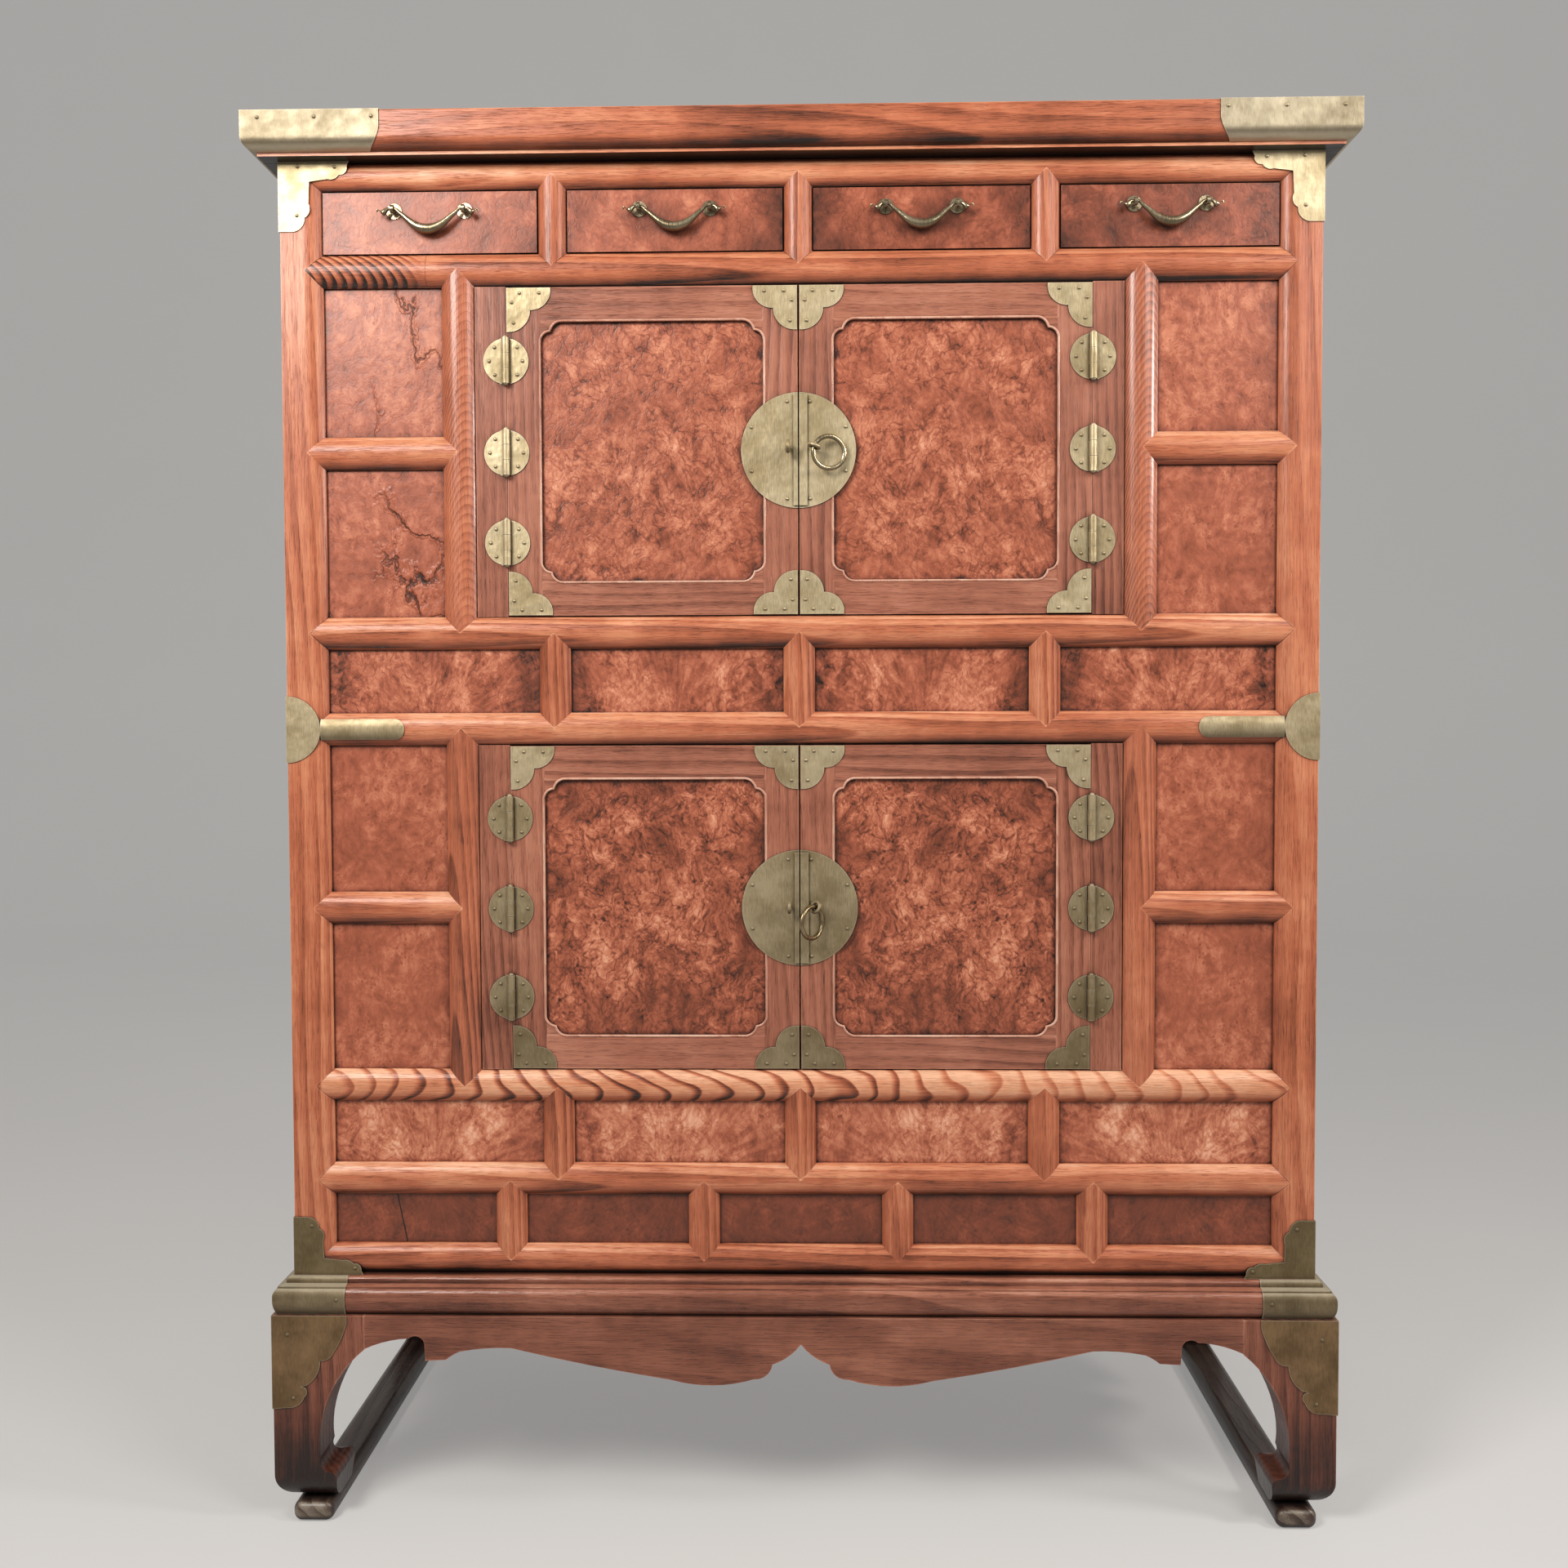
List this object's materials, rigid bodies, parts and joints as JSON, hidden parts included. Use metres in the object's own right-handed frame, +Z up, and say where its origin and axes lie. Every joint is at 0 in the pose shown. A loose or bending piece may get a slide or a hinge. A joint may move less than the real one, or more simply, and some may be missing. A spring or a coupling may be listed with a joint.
{
  "type": "korean two tier chest",
  "caption": "Two tier Korean clothes chest in dark red lacquered wood and burl, with small drawers, paired doors, aged brass mounts and a carved stand with scroll feet.",
  "frame": {"origin": "on the floor, under the middle of the chest", "axes": "+Z up, +X to the viewer's right when facing the doors, -Y out of the front"},
  "size_m": [1.1404, 0.5311, 1.475],
  "materials": {
    "frame_wood": "dark red-brown lacquer with a soft gloss, worn on the edges",
    "door_wood": "darker mauve-brown lacquer with straight grain",
    "burl_wood": "orange-red burl veneer with dark eyes under lacquer",
    "stand_wood": "dark lacquer, scuffed pale on the ridges and feet",
    "inner_wood": "plain unlacquered softwood",
    "old_brass": "aged olive brass with tarnish and dents"
  },
  "bodies": {
    "cabinet": {"back_panels": "inner_wood", "back_rails": "frame_wood", "base_moulding": "stand_wood", "brass_nails": "old_brass", "corner_caps": "old_brass", "door_posts": "frame_wood", "door_stops": "inner_wood", "drawer_guides": "inner_wood", "fixed_hinge_halves": "old_brass", "floor_runners": "stand_wood", "front_posts": "frame_wood", "front_rails": "frame_wood", "front_side_panels": "burl_wood", "hinge_stiles": "frame_wood", "inner_boards": "inner_wood", "leg_plates": "old_brass", "panel_rails": "frame_wood", "post_mounts": "old_brass", "rear_posts": "frame_wood", "row_dividers": "frame_wood", "row_panels": "burl_wood", "side_panels": "inner_wood", "side_rails": "frame_wood", "stand_aprons": "stand_wood", "stand_legs": "stand_wood", "top_board": "frame_wood"},
    "lower_left_door": {"lower_left_door_frame": "door_wood", "lower_left_door_panel": "burl_wood", "lower_left_door_brasses": "old_brass", "lower_left_door_lock_plate": "old_brass"},
    "lower_right_door": {"lower_right_door_frame": "door_wood", "lower_right_door_panel": "burl_wood", "lower_right_door_brasses": "old_brass", "lower_right_door_lock_plate": "old_brass"},
    "upper_left_door": {"upper_left_door_frame": "door_wood", "upper_left_door_panel": "burl_wood", "upper_left_door_brasses": "old_brass", "upper_left_door_lock_plate": "old_brass"},
    "upper_right_door": {"upper_right_door_frame": "door_wood", "upper_right_door_panel": "burl_wood", "upper_right_door_brasses": "old_brass", "upper_right_door_lock_plate": "old_brass"},
    "upper_pull_ring": {"upper_ring": "old_brass"},
    "lower_pull_ring": {"lower_ring": "old_brass"},
    "drawer_1": {"drawer_1_front": "door_wood", "drawer_1_box": "inner_wood", "drawer_1_handle_posts": "old_brass"},
    "drawer_1_handle": {"drawer_1_bail": "old_brass"},
    "drawer_2": {"drawer_2_front": "door_wood", "drawer_2_box": "inner_wood", "drawer_2_handle_posts": "old_brass"},
    "drawer_2_handle": {"drawer_2_bail": "old_brass"},
    "drawer_3": {"drawer_3_front": "door_wood", "drawer_3_box": "inner_wood", "drawer_3_handle_posts": "old_brass"},
    "drawer_3_handle": {"drawer_3_bail": "old_brass"},
    "drawer_4": {"drawer_4_front": "door_wood", "drawer_4_box": "inner_wood", "drawer_4_handle_posts": "old_brass"},
    "drawer_4_handle": {"drawer_4_bail": "old_brass"}
  },
  "joints": [
    {"name": "lower_left_door_hinge", "type": "hinge", "parent": "cabinet", "child": "lower_left_door", "pos_m": [-0.306, -0.2323, 0.6525], "axis": [0, 0, -1], "range_deg": [0, 165]},
    {"name": "lower_right_door_hinge", "type": "hinge", "parent": "cabinet", "child": "lower_right_door", "pos_m": [0.306, -0.2323, 0.6525], "axis": [0, 0, 1], "range_deg": [0, 165]},
    {"name": "upper_left_door_hinge", "type": "hinge", "parent": "cabinet", "child": "upper_left_door", "pos_m": [-0.306, -0.2323, 1.132], "axis": [0, 0, -1], "range_deg": [0, 165]},
    {"name": "upper_right_door_hinge", "type": "hinge", "parent": "cabinet", "child": "upper_right_door", "pos_m": [0.306, -0.2323, 1.132], "axis": [0, 0, 1], "range_deg": [0, 165]},
    {"name": "upper_ring_swing", "type": "hinge", "parent": "upper_right_door", "child": "upper_pull_ring", "pos_m": [0.0165, -0.242, 1.134], "axis": [-0.3477, -0.0867, -0.9336], "range_deg": [0, 95]},
    {"name": "lower_ring_swing", "type": "hinge", "parent": "lower_right_door", "child": "lower_pull_ring", "pos_m": [0.0165, -0.242, 0.6545], "axis": [-0.604, -0.7198, 0.342], "range_deg": [0, 60]},
    {"name": "drawer_1_slide", "type": "slide", "parent": "cabinet", "child": "drawer_1", "axis": [0, -1, 0], "range_m": [0, 0.3]},
    {"name": "drawer_1_bail_swing", "type": "hinge", "parent": "drawer_1", "child": "drawer_1_handle", "pos_m": [-0.38475, -0.237, 1.3825], "axis": [-1, 0, 0], "range_deg": [0, 100]},
    {"name": "drawer_2_slide", "type": "slide", "parent": "cabinet", "child": "drawer_2", "axis": [0, -1, 0], "range_m": [0, 0.3]},
    {"name": "drawer_2_bail_swing", "type": "hinge", "parent": "drawer_2", "child": "drawer_2_handle", "pos_m": [-0.12825, -0.237, 1.3825], "axis": [-1, 0, 0], "range_deg": [0, 100]},
    {"name": "drawer_3_slide", "type": "slide", "parent": "cabinet", "child": "drawer_3", "axis": [0, -1, 0], "range_m": [0, 0.3]},
    {"name": "drawer_3_bail_swing", "type": "hinge", "parent": "drawer_3", "child": "drawer_3_handle", "pos_m": [0.12825, -0.237, 1.3825], "axis": [-1, 0, 0], "range_deg": [0, 100]},
    {"name": "drawer_4_slide", "type": "slide", "parent": "cabinet", "child": "drawer_4", "axis": [0, -1, 0], "range_m": [0, 0.3]},
    {"name": "drawer_4_bail_swing", "type": "hinge", "parent": "drawer_4", "child": "drawer_4_handle", "pos_m": [0.38475, -0.237, 1.3825], "axis": [-1, 0, 0], "range_deg": [0, 100]}
  ]
}
